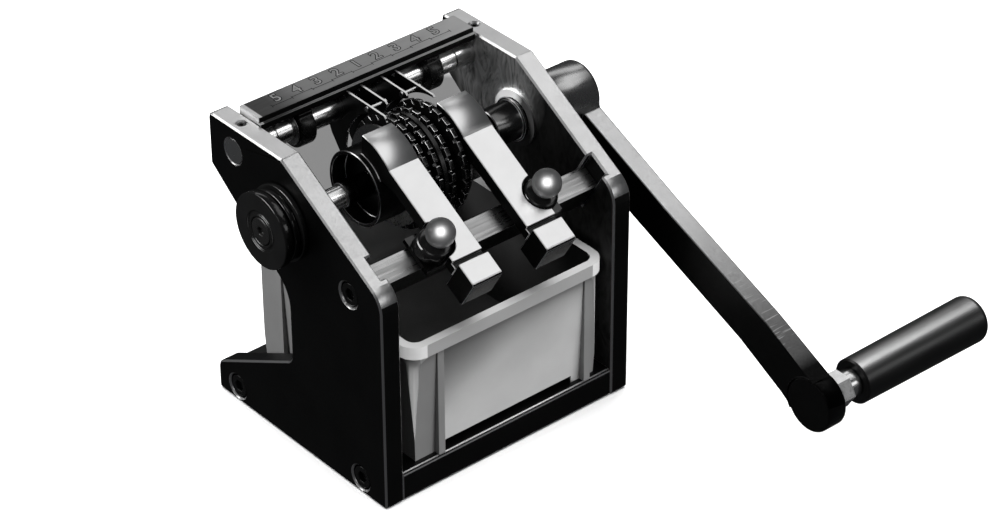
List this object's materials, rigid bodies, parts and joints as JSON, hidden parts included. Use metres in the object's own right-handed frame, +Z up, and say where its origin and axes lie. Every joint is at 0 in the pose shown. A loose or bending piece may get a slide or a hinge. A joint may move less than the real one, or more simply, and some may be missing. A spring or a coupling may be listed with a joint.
{
  "type": "component lead cutter",
  "caption": "Hand-cranked bench machine with toothed carrier wheels, liftable pressure arms, a scaled guide bar and a catch bin, for cutting and forming component leads.",
  "frame": {"origin": "centre of the bench face: midway between the side plates, midway along their feet, on the bench", "axes": "+X towards the crank side, +Y to the rear, +Z up; the front slopes down towards -Y"},
  "size_m": [0.219, 0.1843, 0.1205],
  "materials": {
    "black_plate": "satin black anodised plate with bright chamfers",
    "black_part": "blackened steel",
    "brushed": "brushed",
    "nickel": "satin nickel",
    "bright": "turned and polished",
    "bar_grey": "grey anodised",
    "cast_grey": "cast and machined",
    "gloss_black": "gloss black",
    "bin_grey": "moulded, fine texture"
  },
  "bodies": {
    "frame": {"side_plate_left": "black_plate", "side_plate_right": "black_plate", "base_plate": "black_plate", "crossbar": "brushed", "frame_screws": "black_part", "bearing_outer_rings": "bright", "bearing_balls": "bright", "guide_rod": "brushed", "rod_set_screws": "black_part", "rod_clips": "brushed", "bar_brackets": "black_part", "bracket_set_screws": "black_part", "scale_bar": "bar_grey"},
    "rotor": {"main_shaft": "brushed", "bearing_inner_rings": "bright", "left_hub": "gloss_black", "hub_screw": "black_part", "shaft_collar": "brushed", "shaft_sleeve": "black_part", "outer_carriers": "black_part", "inner_carriers": "black_part", "centre_disc": "black_part", "forming_discs": "brushed", "wheel_spacers": "black_part", "crank": "cast_grey", "crank_set_screw": "black_part", "spindle": "bright"},
    "grip": {"grip": "gloss_black"},
    "arm_left": {"arm_left": "nickel", "end_block_left": "black_part", "latch_bracket_left": "black_part", "latch_post_left": "black_part"},
    "knob_left": {"knob_left": "bright"},
    "arm_right": {"arm_right": "nickel", "end_block_right": "black_part", "latch_bracket_right": "black_part", "latch_post_right": "black_part"},
    "knob_right": {"knob_right": "bright"},
    "bin": {"bin": "bin_grey"},
    "carriage_left": {"carriage_left": "black_part", "blades_left": "brushed", "guide_pin_left": "bright"},
    "carriage_right": {"carriage_right": "black_part", "blades_right": "brushed", "guide_pin_right": "bright"}
  },
  "joints": [
    {"name": "crank_spin", "type": "hinge", "parent": "frame", "child": "rotor", "pos_m": [0, 0.0042, 0.0935], "axis": [-1, 0, 0], "continuous": true},
    {"name": "grip_spin", "type": "hinge", "parent": "rotor", "child": "grip", "pos_m": [0, -0.12556, 0.02767], "axis": [-1, 0, 0], "continuous": true},
    {"name": "arm_left_lift", "type": "hinge", "parent": "frame", "child": "arm_left", "pos_m": [0, 0.0042, 0.0935], "axis": [-1, 0, 0], "range_deg": [0, 45]},
    {"name": "arm_right_lift", "type": "hinge", "parent": "frame", "child": "arm_right", "pos_m": [0, 0.0042, 0.0935], "axis": [-1, 0, 0], "range_deg": [0, 45]},
    {"name": "knob_left_pull", "type": "slide", "parent": "arm_left", "child": "knob_left", "axis": [0, -0.5111, 0.8595], "range_m": [0, 0.005]},
    {"name": "knob_right_pull", "type": "slide", "parent": "arm_right", "child": "knob_right", "axis": [0, -0.5111, 0.8595], "range_m": [0, 0.005]},
    {"name": "bin_slide", "type": "slide", "parent": "frame", "child": "bin", "axis": [0, -1, 0], "range_m": [0, 0.1]},
    {"name": "carriage_left_slide", "type": "slide", "parent": "frame", "child": "carriage_left", "axis": [-1, 0, 0], "range_m": [0, 0.012]},
    {"name": "carriage_right_slide", "type": "slide", "parent": "frame", "child": "carriage_right", "axis": [1, 0, 0], "range_m": [0, 0.012]}
  ]
}
